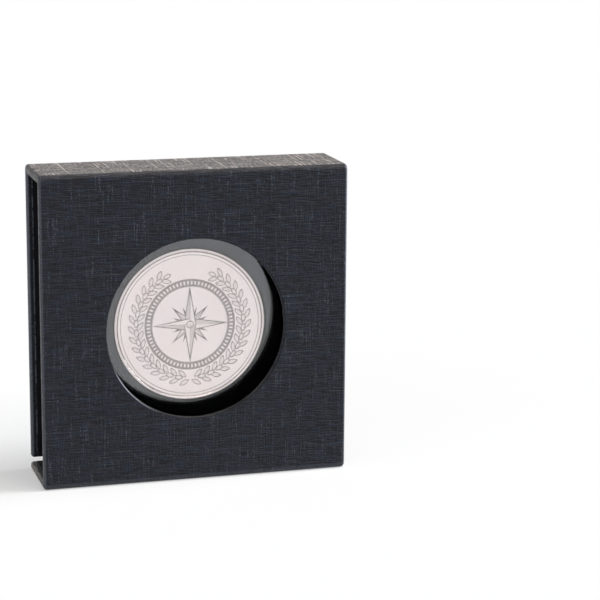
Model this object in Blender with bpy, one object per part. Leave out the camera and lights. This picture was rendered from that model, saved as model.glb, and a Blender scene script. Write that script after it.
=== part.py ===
"""Coin display case of wrapped board, with a round window and a magnetic flap.

Metres, +Z up. The window faces -Y, the case stands on its flap at Z = 0, and the origin is
the middle of the underside of the shut case. The cover is one strip of four boards, back,
spine, front and flap, joined by paper folds. The tray is glued to the back board.

The sizes start at the coin. The capsule fits round the coin, the foam round the capsule, the
tray round the foam, and the cover round the tray.
"""
import math

import bmesh
import bpy

# The coin that the case is built round, and its rim
coin_diameter = 0.0350
coin_thickness = 0.0022
coin_rim_width = 0.0011
coin_rim_height = 0.00025
coin_edge_chamfer = 0.0002

# Clear square capsule and the ring that holds the coin in it
ring_border = 0.0038
ring_floor = 0.0005
coin_drop = 0.0002
capsule_wall = 0.0018
capsule_plate = 0.0012
capsule_lip_wall = 0.0010
capsule_lip_depth = 0.0014
capsule_corner_radius = 0.0025
capsule_edge_radius = 0.0004

# Foam insert round the capsule
foam_side_border = 0.0041
foam_top_border = 0.00640
foam_bottom_border = 0.00440
foam_floor = 0.00255
foam_front_drop = 0.0004
pocket_recess = 0.00255
notch_radius = 0.0080
notch_reach = 0.0038
notch_depth = 0.0080

# Papers and board, and the clearances between pieces
cover_paper = 0.0002
lining_paper = 0.00015
greyboard = 0.0012
glue_line = 0.0001
seat_gap = 0.0003

# Tray, and the room that it has in the cover
tray_corner_radius = 0.0009
tray_rim_radius = 0.0005
tray_turn_in = 0.0080
tray_turn_under = 0.0070
tray_mouth_gap = 0.0003
tray_back_gap = 0.0003
tray_top_gap = 0.0005
tray_flap_gap = 0.0008
cover_overhang = 0.0035

# Folds and edges of the cover
fold_radius = 0.0012
fold_slit = 0.0001
edge_radius = 0.0007
turn_in = 0.0100
lining_reveal = 0.0012
lining_fold_gap = 0.0003
back_edge_gap = 0.0012

# Window in the front board
window_margin = 0.0030
window_rise = 0.0004
window_rounding = 0.0004
window_turn_in = 0.0040

# Magnets and the plates that they hold to
magnet_diameter = 0.0080
magnet_thickness = 0.0010
magnet_end_inset = 0.0135

# Roundness of curves, and the run of a cutter past what it cuts
window_steps = 72
magnet_steps = 24
notch_steps = 32
corner_steps = 4
edge_steps = 3
fold_steps = 4
fillet_steps = 3
overrun = 0.0020

# Inner corners keep at least this share of the outer corner's radius. A rounded cut starts
# this share of its rounding before the face, for a clean crossing.
corner_share = 0.2
fillet_lead_share = 0.05

# Thickness of a board in its cover paper, and with its lining
wrapped_thickness = 2 * cover_paper + 2 * glue_line + greyboard
lined_thickness = wrapped_thickness + glue_line + lining_paper
core_inset = cover_paper + glue_line
core_inner_face = core_inset + greyboard
fold_axis = fold_radius * (1 - math.cos(math.pi / 4))

# Widths, from the coin out to the cover
coin_radius = coin_diameter / 2
ring_half = coin_radius + seat_gap + ring_border
capsule_half = ring_half + seat_gap + capsule_lip_wall + seat_gap + capsule_wall
pocket_half = capsule_half + seat_gap
foam_half_width = pocket_half + foam_side_border
tray_wall = wrapped_thickness
tray_half_width = foam_half_width + seat_gap + tray_wall
case_width = 2 * (tray_half_width + cover_overhang)

# Heights, from the floor up
tray_bottom = lined_thickness + tray_flap_gap
pocket_bottom = tray_bottom + tray_wall + seat_gap + foam_bottom_border
capsule_middle = pocket_bottom + pocket_half
tray_top = capsule_middle + pocket_half + foam_top_border + seat_gap + tray_wall
case_height = tray_top + tray_top_gap + lined_thickness
tray_middle = (tray_bottom + tray_top) / 2
tray_half_height = (tray_top - tray_bottom) / 2
foam_half_height = tray_half_height - tray_wall - seat_gap
back_rise = wrapped_thickness + back_edge_gap
window_height = capsule_middle + window_rise
window_radius = coin_radius + window_margin

# Depths, from the outer face of the front board to that of the back board
capsule_thickness = (capsule_plate + seat_gap + coin_drop + coin_thickness + seat_gap + ring_floor
                     + seat_gap + capsule_plate)
tray_depth = (foam_front_drop + pocket_recess + capsule_thickness + seat_gap + foam_floor
              + seat_gap + greyboard + core_inset)
case_depth = lined_thickness + tray_mouth_gap + tray_depth + tray_back_gap + lined_thickness
front_face = -case_depth / 2
back_face = case_depth / 2
tray_mouth = front_face + lined_thickness + tray_mouth_gap
tray_back = tray_mouth + tray_depth
tray_floor_face = tray_back - core_inset - greyboard
foam_front = tray_mouth + foam_front_drop
foam_back = tray_floor_face - seat_gap
capsule_face = foam_front + pocket_recess
capsule_back = capsule_face + capsule_thickness
pocket_floor = capsule_back + seat_gap
ring_front = capsule_face + capsule_plate + seat_gap
ring_back = capsule_back - capsule_plate - seat_gap
coin_front = ring_front + coin_drop
coin_back = coin_front + coin_thickness

magnet_radius = magnet_diameter / 2
magnet_out = tray_half_width - magnet_end_inset
magnet_row = (tray_mouth + tray_back) / 2


def clear_scene():
    """Remove every object, mesh and material that is already there."""
    for item in list(bpy.data.objects):
        bpy.data.objects.remove(item, do_unlink=True)
    for mesh in list(bpy.data.meshes):
        bpy.data.meshes.remove(mesh)
    for old in list(bpy.data.materials):
        bpy.data.materials.remove(old)


def principled(name, colour, roughness, metallic=0.0, alpha=1.0):
    """A Principled material of one colour."""
    new = bpy.data.materials.new(name)
    new.use_nodes = True
    shader = new.node_tree.nodes["Principled BSDF"]
    shader.inputs["Base Color"].default_value = (*colour, 1.0)
    shader.inputs["Roughness"].default_value = roughness
    shader.inputs["Metallic"].default_value = metallic
    shader.inputs["Alpha"].default_value = alpha
    return new


def add_object(name, bm, material, parent=None, place=(0, 0, 0), turn=0.0):
    """Turn a finished bmesh into a named object, placed and parented."""
    bmesh.ops.remove_doubles(bm, verts=bm.verts, dist=fold_slit / 100)
    bmesh.ops.recalc_face_normals(bm, faces=bm.faces)
    mesh = bpy.data.meshes.new(name)
    bm.to_mesh(mesh)
    bm.free()
    mesh.materials.append(material)
    mesh.shade_smooth()
    mesh.set_sharp_from_angle(angle=math.radians(35))
    item = bpy.data.objects.new(name, mesh)
    bpy.context.scene.collection.objects.link(item)
    item.location = place
    item.rotation_euler = (turn, 0, 0)
    item.parent = parent
    return item


def add_cutter(name, bm, parent=None, place=(0, 0, 0), turn=0.0):
    """A solid that only cuts others: drawn as wire and never rendered."""
    cutter = add_object(name, bm, material_of["greyboard"], parent, place, turn)
    cutter.hide_render = True
    cutter.display_type = "WIRE"
    return cutter


def cut(item, cutter):
    """Take a cutter's volume away from an object with a live Boolean."""
    step = item.modifiers.new(cutter.name, "BOOLEAN")
    step.operation = "DIFFERENCE"
    step.solver = "EXACT"
    step.object = cutter


def prism(outline, half_width, rounding=0.0, soft_corners=(), bare_sides=()):
    """Outline of (a, b) points extruded along X to both sides, with rounded ends.

    soft_corners are the outline points whose long edges are rounded too. bare_sides are the
    outline sides, by their first point, whose end edges stay sharp.
    """
    bm = bmesh.new()
    left = [bm.verts.new((-half_width, a, b)) for a, b in outline]
    right = [bm.verts.new((half_width, a, b)) for a, b in outline]
    bm.faces.new(list(reversed(left)))
    bm.faces.new(right)
    count = len(outline)
    rounded = []
    for i in range(count):
        j = (i + 1) % count
        bm.faces.new((left[i], left[j], right[j], right[i]))
        if i not in bare_sides:
            rounded.append(bm.edges.get((left[i], left[j])))
            rounded.append(bm.edges.get((right[i], right[j])))
        if i in soft_corners:
            rounded.append(bm.edges.get((left[i], right[i])))
    if rounding > 0:
        bmesh.ops.bevel(bm, geom=rounded, offset=rounding, segments=edge_steps, profile=0.5,
                        affect="EDGES", clamp_overlap=False)
    return bm


def box(low, high):
    """Closed box between two corners."""
    bm = bmesh.new()
    bmesh.ops.create_cube(bm, size=1.0)
    for vert in bm.verts:
        vert.co = [low[i] if vert.co[i] < 0 else high[i] for i in range(3)]
    return bm


def turned(profile, steps, axis):
    """Closed solid turned about a line along axis, "y" or "z", from (radius, height) points.

    The first and the last point of the profile are joined by flat round faces.
    """
    bm = bmesh.new()
    rows = []
    for radius, height in profile:
        row = []
        for i in range(steps):
            angle = 2 * math.pi * i / steps
            across, along = radius * math.cos(angle), radius * math.sin(angle)
            point = (across, height, along) if axis == "y" else (across, along, height)
            row.append(bm.verts.new(point))
        rows.append(row)
    for lower, upper in zip(rows, rows[1:]):
        for i in range(steps):
            j = (i + 1) % steps
            bm.faces.new((lower[i], lower[j], upper[j], upper[i]))
    bm.faces.new(rows[0])
    bm.faces.new(rows[-1])
    return bm


def rounded_square_row(bm, half_width, half_height, radius, depth):
    """One loop of vertices round a rounded rectangle that faces Y, at the given depth."""
    row = []
    for quarter, (sign_x, sign_z) in enumerate(((1, 1), (-1, 1), (-1, -1), (1, -1))):
        centre_x = sign_x * (half_width - radius)
        centre_z = sign_z * (half_height - radius)
        for i in range(corner_steps + 1):
            angle = (quarter + i / corner_steps) * math.pi / 2
            row.append(bm.verts.new((centre_x + radius * math.cos(angle), depth,
                                     centre_z + radius * math.sin(angle))))
    return row


def framed(profile, half_width, half_height, radius, closed):
    """A profile of (inset, depth) points carried round a rounded rectangle that faces Y.

    With closed set the profile is a loop, and the solid is a frame. Otherwise the first and
    the last point are closed by flat faces, and the solid is a plate or a pan.
    """
    bm = bmesh.new()
    least = radius * corner_share
    rows = [rounded_square_row(bm, half_width - inset, half_height - inset,
                               max(radius - inset, least), depth) for inset, depth in profile]
    pairs = list(zip(rows, rows[1:]))
    if closed:
        pairs.append((rows[-1], rows[0]))
    for lower, upper in pairs:
        for i in range(len(lower)):
            j = (i + 1) % len(lower)
            bm.faces.new((lower[i], lower[j], upper[j], upper[i]))
    if not closed:
        bm.faces.new(rows[0])
        bm.faces.new(rows[-1])
    return bm


def fold_arc(radius, last_angle, length=None):
    """Points of a cover fold, from the outer face towards the mitre, in board coordinates.

    With length given, the fold is the one at the far end of a board of that length.
    """
    points = []
    for i in range(fold_steps + 1):
        angle = math.pi / 2 + (last_angle - math.pi / 2) * i / fold_steps
        a = fold_radius - radius * math.cos(angle)
        b = fold_radius - radius * math.sin(angle)
        points.append((a if length is None else length - a, b))
    return points


def cover_outline(length, first_fold, last_fold):
    """Outer shape of one wrapped board, seen along X, with its soft corners and bare sides."""
    mitre = math.pi / 4 + math.asin(fold_slit / (fold_radius * math.sqrt(2)))
    inner = wrapped_thickness
    outline, soft, bare = [], [], []
    if first_fold:
        outline += list(reversed(fold_arc(fold_radius, mitre)))
    else:
        soft.append(len(outline))
        outline.append((0, 0))
    if last_fold:
        outline += fold_arc(fold_radius, mitre, length)
        bare.append(len(outline) - 1)
        outline.append((length - inner - fold_slit, inner))
    else:
        soft += [len(outline), len(outline) + 1]
        outline += [(length, 0), (length, inner)]
    if first_fold:
        bare.append(len(outline))
        outline.append((inner + fold_slit, inner))
    else:
        soft.append(len(outline))
        outline.append((0, inner))
    return outline, soft, bare


def cavity_outline(length, first_fold, last_fold):
    """Space inside the cover paper of one board. It runs out past a fold's mitre."""
    past = math.pi / 6
    inner = wrapped_thickness - cover_paper
    radius = fold_radius - cover_paper
    outline, soft = [], []
    if first_fold:
        outline += list(reversed(fold_arc(radius, past)))
    else:
        soft.append(len(outline))
        outline.append((cover_paper, cover_paper))
    if last_fold:
        outline += fold_arc(radius, past, length)
        outline.append((length, inner))
    else:
        soft += [len(outline), len(outline) + 1]
        outline += [(length - cover_paper, cover_paper), (length - cover_paper, inner)]
    if first_fold:
        outline.append((0, inner))
    else:
        soft.append(len(outline))
        outline.append((cover_paper, inner))
    return outline, soft


def window_cutter_profile():
    """Turned cutter of the window: straight in the middle and rounded out at both faces."""
    profile = [(window_radius + window_rounding, -overrun)]
    profile.append((window_radius + window_rounding, -window_rounding * fillet_lead_share))
    for i in range(1, fillet_steps + 1):
        angle = math.pi / 2 * i / fillet_steps
        profile.append((window_radius + window_rounding * (1 - math.sin(angle)),
                        window_rounding * (1 - math.cos(angle))))
    mirrored = [(radius, wrapped_thickness - height) for radius, height in reversed(profile)]
    return profile + mirrored


def board_window(name, profile, parent, place):
    """A turned cutter on the window's axis of the front board."""
    bm = turned(profile, window_steps, "z")
    middle = case_height - window_height
    return add_cutter(name, bm, parent, (place[0], place[1] + middle, place[2]))


def add_cover_board(part, length, first_fold, last_fold, parent, place, turn):
    """Cover paper, board and lining paper of one board. Returns the three objects."""
    half_width = case_width / 2
    outline, soft, bare = cover_outline(length, first_fold, last_fold)
    paper = add_object("cover_paper_" + part, prism(outline, half_width, edge_radius, soft, bare),
                       material_of["linen"], parent, place, turn)

    outline, soft = cavity_outline(length, first_fold, last_fold)
    hollow = add_cutter("cut_hollow_" + part,
                        prism(outline, half_width - cover_paper, edge_radius - cover_paper, soft),
                        parent, place, turn)
    first = -overrun if first_fold else turn_in
    last = length + overrun if last_fold else length - turn_in
    opening = add_cutter("cut_opening_" + part,
                         box((-half_width + turn_in, first, wrapped_thickness / 2),
                             (half_width - turn_in, last, wrapped_thickness + overrun)),
                         parent, place, turn)
    cut(paper, hollow)
    cut(paper, opening)

    first = core_inner_face + glue_line if first_fold else core_inset
    last = length - (core_inner_face + glue_line if last_fold else core_inset)
    core = add_object(part + "_board",
                      prism([(first, core_inset), (last, core_inset),
                             (last, core_inner_face), (first, core_inner_face)],
                            half_width - core_inset, edge_radius - core_inset, (0, 1, 2, 3)),
                      material_of["greyboard"], parent, place, turn)

    inner = wrapped_thickness + glue_line
    first = lined_thickness + lining_fold_gap if first_fold else lining_reveal
    last = length - (lined_thickness + lining_fold_gap if last_fold else lining_reveal)
    lining = add_object("lining_" + part,
                        box((-half_width + lining_reveal, first, inner),
                            (half_width - lining_reveal, last, inner + lining_paper)),
                        material_of["lining"], parent, place, turn)
    return paper, core, lining, hollow, opening


def add_fold(name, parent, place, turn):
    """Empty on the axis of a paper fold. The pieces that swing there are its children."""
    fold = bpy.data.objects.new(name, None)
    bpy.context.scene.collection.objects.link(fold)
    fold.empty_display_size = case_depth / 2
    fold.parent = parent
    fold.location = place
    fold.rotation_euler = (turn, 0, 0)
    return fold


def add_cover():
    """The strip of four boards, from the back over the spine and the front to the flap."""
    quarter = math.pi / 2
    back_length = case_height - back_rise
    add_cover_board("back", back_length, False, True, None, (0, back_face, back_rise), quarter)

    on_axis = (0, -fold_axis, -fold_axis)
    top_rear = add_fold("spine_fold_axis", None,
                        (0, back_face - fold_axis, case_height - fold_axis), 2 * quarter)
    add_cover_board("spine", case_depth, True, True, top_rear, on_axis, 0.0)

    top_front = add_fold("front_fold_axis", top_rear, (0, case_depth - 2 * fold_axis, 0), quarter)
    paper, core, lining, hollow, opening = add_cover_board(
        "front", case_height, True, True, top_front, on_axis, 0.0)
    cut_window(paper, core, lining, hollow, opening, top_front, on_axis)

    bottom_front = add_fold("flap_fold_axis", top_front,
                            (0, case_height - 2 * fold_axis, 0), quarter)
    core = add_cover_board("flap", case_depth, True, False, bottom_front, on_axis, 0.0)[1]
    add_flap_magnets(core, bottom_front, on_axis)


def cut_window(paper, core, lining, hollow, opening, parent, place):
    """Window through the front board. The cover paper lines it and is turned in behind it."""
    def straight(radius):
        return [(radius, -overrun), (radius, wrapped_thickness + lining_paper + overrun)]

    sleeve = board_window("cut_sleeve", straight(window_radius + cover_paper), parent, place)
    flange = board_window("cut_flange", straight(window_radius + window_turn_in), parent, place)
    window = board_window("cut_window", window_cutter_profile(), parent, place)
    clear = board_window("cut_core_window", straight(window_radius + core_inset), parent, place)
    wide = board_window("cut_lining_window", straight(window_radius + lining_reveal), parent,
                        place)
    cut(hollow, sleeve)
    cut(opening, flange)
    cut(paper, window)
    cut(core, clear)
    cut(lining, wide)


def magnet_places():
    """The two magnet places along X, with the side that each is on."""
    return (("left", -magnet_out), ("right", magnet_out))


def add_flap_magnets(core, parent, place):
    """Two disc magnets in holes that are punched through the flap's board."""
    row = magnet_row - front_face
    under = (greyboard - magnet_thickness) / 2
    for side, x in magnet_places():
        spot = (place[0] + x, place[1] + row, place[2])
        hole = turned([(magnet_radius + seat_gap, -overrun),
                       (magnet_radius + seat_gap, wrapped_thickness + overrun)],
                      magnet_steps, "z")
        cut(core, add_cutter("cut_flap_magnet_" + side, hole, parent, spot))
        low = core_inset + under
        disc = turned([(magnet_radius, low), (magnet_radius, low + magnet_thickness)],
                      magnet_steps, "z")
        add_object("flap_magnet_" + side, disc, material_of["nickel"], parent, spot)


def add_tray():
    """Scored board tray, its linen wrap and the steel plates in its lower wall."""
    middle = (0, 0, tray_middle)
    outer_wall, inner_wall = core_inset, core_inset + greyboard
    shell_back, shell_rim = tray_back - core_inset, tray_mouth + core_inset
    soft = tray_rim_radius - cover_paper
    shell_profile = [(outer_wall + soft, shell_back), (outer_wall, shell_back - soft),
                     (outer_wall, shell_rim + soft), (outer_wall + soft, shell_rim),
                     (inner_wall - soft, shell_rim), (inner_wall, shell_rim + soft),
                     (inner_wall, tray_floor_face)]
    shell = add_object("tray_shell",
                       framed(shell_profile, tray_half_width, tray_half_height,
                              tray_corner_radius, closed=False),
                       material_of["greyboard"], None, middle)

    lip = tray_rim_radius
    step = lip * (1 - math.cos(math.pi / 4))
    inside = tray_wall
    back, mouth = tray_back, tray_mouth
    wrap_profile = [
        (tray_turn_under, back), (lip, back), (step, back - step), (0, back - lip),
        (0, mouth + lip), (step, mouth + step), (lip, mouth), (inside - lip, mouth),
        (inside - step, mouth + step), (inside, mouth + lip), (inside, mouth + tray_turn_in),
        (inside - cover_paper, mouth + tray_turn_in), (inside - cover_paper, mouth + lip),
        (inside - lip, mouth + cover_paper), (lip, mouth + cover_paper),
        (cover_paper, mouth + lip), (cover_paper, back - lip), (lip, back - cover_paper),
        (tray_turn_under, back - cover_paper)]
    add_object("tray_wrap",
               framed(wrap_profile, tray_half_width, tray_half_height, tray_corner_radius,
                      closed=True),
               material_of["linen"], None, middle)

    low = tray_bottom + core_inset
    under = (greyboard - magnet_thickness) / 2
    for side, x in magnet_places():
        spot = (x, magnet_row, low)
        hole = turned([(magnet_radius + seat_gap, -overrun),
                       (magnet_radius + seat_gap, greyboard + overrun)], magnet_steps, "z")
        cut(shell, add_cutter("cut_tray_plate_" + side, hole, None, spot))
        disc = turned([(magnet_radius, under), (magnet_radius, under + magnet_thickness)],
                      magnet_steps, "z")
        add_object("tray_plate_" + side, disc, material_of["steel"], None, spot)


def add_foam():
    """Foam block with a square pocket for the capsule and two finger notches."""
    block = [(0, foam_back), (0, foam_front)]
    foam = add_object("foam_insert",
                      framed(block, foam_half_width, foam_half_height, tray_corner_radius,
                             closed=False),
                      material_of["foam"], None, (0, 0, tray_middle))
    pocket = framed([(0, pocket_floor), (0, foam_front - overrun)], pocket_half, pocket_half,
                    capsule_corner_radius + seat_gap, closed=False)
    cut(foam, add_cutter("cut_pocket", pocket, None, (0, 0, capsule_middle)))
    for side, sign in (("top", 1), ("bottom", -1)):
        notch = turned([(notch_radius, foam_front - overrun),
                        (notch_radius, foam_front + notch_depth)], notch_steps, "y")
        rise = sign * (pocket_half + notch_reach - notch_radius)
        cut(foam, add_cutter("cut_notch_" + side, notch, None, (0, 0, capsule_middle + rise)))


def add_capsule():
    """Clear square capsule in two halves, with its black ring and the coin."""
    middle = (0, 0, capsule_middle)
    edge = capsule_edge_radius
    step = edge * (1 - math.cos(math.pi / 4))
    plate_back = capsule_face + capsule_plate
    wall_front = plate_back + seat_gap
    floor_face = capsule_back - capsule_plate
    base_profile = [(edge, capsule_back), (step, capsule_back - step), (0, capsule_back - edge),
                    (0, wall_front), (capsule_wall, wall_front), (capsule_wall, floor_face)]
    add_object("capsule_base",
               framed(base_profile, capsule_half, capsule_half, capsule_corner_radius,
                      closed=False),
               material_of["clear"], None, middle)

    lip_out = capsule_wall + seat_gap
    lip_in = lip_out + capsule_lip_wall
    lip_back = plate_back + capsule_lip_depth
    lid_profile = [(lip_in, plate_back), (lip_in, lip_back), (lip_out, lip_back),
                   (lip_out, plate_back), (0, plate_back), (0, capsule_face + edge),
                   (step, capsule_face + step), (edge, capsule_face)]
    add_object("capsule_lid",
               framed(lid_profile, capsule_half, capsule_half, capsule_corner_radius,
                      closed=False),
               material_of["clear"], None, middle)

    ring_inset = lip_in + seat_gap
    foot_inset = capsule_wall + seat_gap
    shoulder = lip_back + seat_gap
    ring_profile = [(foot_inset, ring_back), (foot_inset, shoulder), (ring_inset, shoulder),
                    (ring_inset, ring_front)]
    ring = add_object("capsule_ring",
                      framed(ring_profile, capsule_half, capsule_half, capsule_corner_radius,
                             closed=False),
                      material_of["ring"], None, middle)
    recess = turned([(coin_radius + seat_gap, ring_front - overrun),
                     (coin_radius + seat_gap, ring_back - ring_floor)], window_steps, "y")
    cut(ring, add_cutter("cut_coin_recess", recess, None, middle))
    add_coin(middle)


def add_coin(middle):
    """Coin with a raised rim on both faces and a chamfered edge."""
    chamfer = coin_edge_chamfer
    field = coin_radius - coin_rim_width
    slope = coin_rim_height
    half = [(field, coin_front + coin_rim_height), (field + slope, coin_front),
            (coin_radius - chamfer, coin_front), (coin_radius, coin_front + chamfer)]
    ends = coin_front + coin_back
    profile = half + [(radius, ends - depth) for radius, depth in reversed(half)]
    add_object("coin", turned(profile, window_steps, "y"), material_of["silver"], None, middle)


clear_scene()
material_of = {
    "linen": principled("linen_paper", (0.028, 0.031, 0.042), 0.55),
    "lining": principled("lining_paper", (0.008, 0.008, 0.010), 0.45),
    "greyboard": principled("greyboard", (0.270, 0.250, 0.220), 0.90),
    "foam": principled("foam", (0.012, 0.012, 0.013), 0.95),
    "clear": principled("clear_plastic", (0.900, 0.920, 0.930), 0.05, alpha=0.25),
    "ring": principled("ring_foam", (0.010, 0.010, 0.011), 0.70),
    "silver": principled("coin_silver", (0.700, 0.640, 0.640), 0.28, metallic=1.0),
    "nickel": principled("nickel", (0.560, 0.540, 0.500), 0.30, metallic=1.0),
    "steel": principled("steel", (0.420, 0.420, 0.430), 0.45, metallic=1.0),
}
add_cover()
add_tray()
add_foam()
add_capsule()
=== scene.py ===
"""Dresses a coin display case: linen paper over board, a clear capsule and a struck coin.

Metres, +Z up. The window faces -Y and the case stands on its flap at Z = 0. The cover is one
strip of four boards, back, spine, front and flap. Each wrapped board is drawn lying flat, with
X across it, Y along the strip and Z from its outer face inwards, and is then stood in place.
"""
import math

import bmesh
import bpy
import numpy as np
from mathutils import Matrix, Vector


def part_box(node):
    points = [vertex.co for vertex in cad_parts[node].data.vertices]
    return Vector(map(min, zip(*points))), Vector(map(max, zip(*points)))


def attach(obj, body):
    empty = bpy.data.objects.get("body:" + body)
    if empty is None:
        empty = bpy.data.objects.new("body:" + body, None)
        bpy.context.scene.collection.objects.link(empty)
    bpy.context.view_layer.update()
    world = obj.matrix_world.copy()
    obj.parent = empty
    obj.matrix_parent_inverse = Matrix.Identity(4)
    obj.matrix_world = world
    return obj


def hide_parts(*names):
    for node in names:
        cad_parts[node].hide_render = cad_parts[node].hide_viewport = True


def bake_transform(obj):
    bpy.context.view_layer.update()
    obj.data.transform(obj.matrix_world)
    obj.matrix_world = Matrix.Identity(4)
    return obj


bl_info = {
    "name": "Coin display case",
    "version": (1, 0, 0),
    "blender": (4, 5, 0),
    "location": "3D View > Sidebar > Coin case",
    "description": "Models and finishes a book-style display case for one coin",
    "category": "Object",
}

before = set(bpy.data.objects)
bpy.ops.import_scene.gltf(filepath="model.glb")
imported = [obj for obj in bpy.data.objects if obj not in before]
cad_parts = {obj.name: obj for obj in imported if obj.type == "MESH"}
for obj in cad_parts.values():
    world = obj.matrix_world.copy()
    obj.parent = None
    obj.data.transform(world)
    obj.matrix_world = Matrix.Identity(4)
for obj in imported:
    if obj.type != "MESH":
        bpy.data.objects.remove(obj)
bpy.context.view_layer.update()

cover_low, cover_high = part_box("cover_paper_front")
back_low, back_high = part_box("cover_paper_back")
tray_low, tray_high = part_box("tray_wrap")
foam_low, foam_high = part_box("foam_insert")
lid_low, lid_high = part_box("capsule_lid")
base_low, base_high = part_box("capsule_base")
ring_low, ring_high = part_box("capsule_ring")
coin_low, coin_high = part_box("coin")

case_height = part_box("cover_paper_spine")[1].z
case_width = cover_high.x - cover_low.x
front_face = cover_low.y
back_face = back_high.y
case_depth = back_face - front_face
coin_middle = (coin_low + coin_high) / 2
coin_radius = (coin_high.x - coin_low.x) / 2

QUARTER = math.pi / 2

# Numbers of a spot's axes
Y, Z = 1, 2

# Each board, the body that it is on, and whether its first and its last end have a fold
BOARDS = (("back", "base", False, True), ("spine", "spine", True, True),
          ("front", "front", True, True), ("flap", "flap", True, False))

# Each board's first corner on the shut case, its turn from lying flat, and its length
PLACES = {
    "back": ((0, back_face, back_low.z), QUARTER, case_height - back_low.z),
    "spine": ((0, back_face, case_height), 2 * QUARTER, case_depth),
    "front": ((0, front_face, case_height), -QUARTER, case_height),
    "flap": ((0, front_face, 0), 0.0, case_depth),
}

# Steps of the rounded forms: board folds, board rims, the window, paper folds and tray rims
FOLD_STEPS = 13
RIM_STEPS = 6
WINDOW_STEPS = 160
PAPER_FOLD_STEPS = 12
TRAY_RIM_STEPS = 5

# Run of a cutter past what it cuts, and the gap between papers that nearly touch
REACH = 0.002
HAIR = 0.00005

# Layers of the linen pattern: stretch of a noise, its detail and roughness, and the range of it
# that is spread from 0 to 1
LINEN_LAYERS = {
    "weft": ((330, 2900, 3), 1.0, 0.5, 0.38, 0.62),
    "warp": ((3200, 700, 3), 1.0, 0.5, 0.44, 0.66),
    "rows": ((160, 950, 4), 2.0, 0.6, 0.36, 0.64),
    "dots": ((2600, 1900, 6), 0.0, 0.5, 0.46, 0.66),
    "slub": ((2700, 110, 5), 1.0, 0.5, 0.56, 0.72),
    "long_warp": ((2300, 40, 9), 0.0, 0.5, 0.62, 0.69),
    "long_weft": ((70, 2300, 7), 0.0, 0.5, 0.66, 0.80),
    "patch": ((240, 420, 3), 3.0, 0.65, 0.42, 0.58),
    "strand": ((2300, 420, 6), 2.0, 0.6, 0.38, 0.66),
    "broken": ((900, 160, 8), 1.0, 0.5, 0.38, 0.55),
}

# Coin: steps round it, cuts across its field, reeds on its edge, the share of the radius at their
# foot, and the rim's profile as shares of its width and height
COIN_STEPS = 720
FIELD_CUTS = 113
REEDS = 180
REED_SHARE = 0.9985
RIM_PROFILE = ((0.0, 0.0), (0.10, 0.12), (0.22, 0.5), (0.32, 0.88), (0.42, 1.0))

# Coin design in millimetres. The rose's points are a count, their reach, their half width at the
# middle and the first one's angle. Grading marks lie between two rings. The leaves' rows are a
# row's number, its distance from the stem and the tilt of its leaves.
ROSE_POINTS = ((8, 3.7, 0.62, 22.5), (4, 5.3, 0.95, 45.0), (4, 8.3, 1.35, 0.0))
GRADED_RINGS = (9.0, 10.3)
GRADING = (9.2, 10.1)
GRADING_DEGREES = 5.0
STEM_RADIUS = 12.5
LEAF_ROWS = ((0, 1.02, 0.62), (1, -0.92, -0.62), (2, 0.0, 0.0))
LEAF_PLACES = [math.radians(-84 + 10.2 * i) for i in range(15)]
FINE_LINE_RADIUS = 16.05

# Lamps: place, angle that the light comes from, strength and colour
LAMPS = (
    ("top_lamp", (0.25, -0.35, 0.90), 50, 1.35, (1.0, 0.97, 0.94)),
    ("side_lamp", (0.90, -0.12, 0.38), 30, 3.9, (0.93, 0.96, 1.0)),
    ("fill_lamp", (-0.55, -0.50, 0.35), 60, 0.38, (0.96, 0.98, 1.0)),
)

# Share of its own light with which the floor is seen, and the surround's strength as a light
FLOOR_GLOW = 0.4
SURROUND_LIGHT = 0.16

# Camera: place, turn, tilt and roll in degrees, and lens
CAMERA_PLACE = (-0.1123, -0.46825, 0.1467)
CAMERA_ANGLES = (16.53, 12.52, 0.41)
CAMERA_LENS = 130.25


def metres(name, description, default):
    """A length in metres that a user may change in the panel."""
    return bpy.props.FloatProperty(name=name, description=description, default=default,
                                   min=0.0, unit="LENGTH", subtype="DISTANCE", precision=5)


def paint(name, description, default):
    """A linear colour that a user may change in the panel."""
    return bpy.props.FloatVectorProperty(name=name, description=description, default=default,
                                         size=3, min=0.0, max=1.0, subtype="COLOR")


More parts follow.
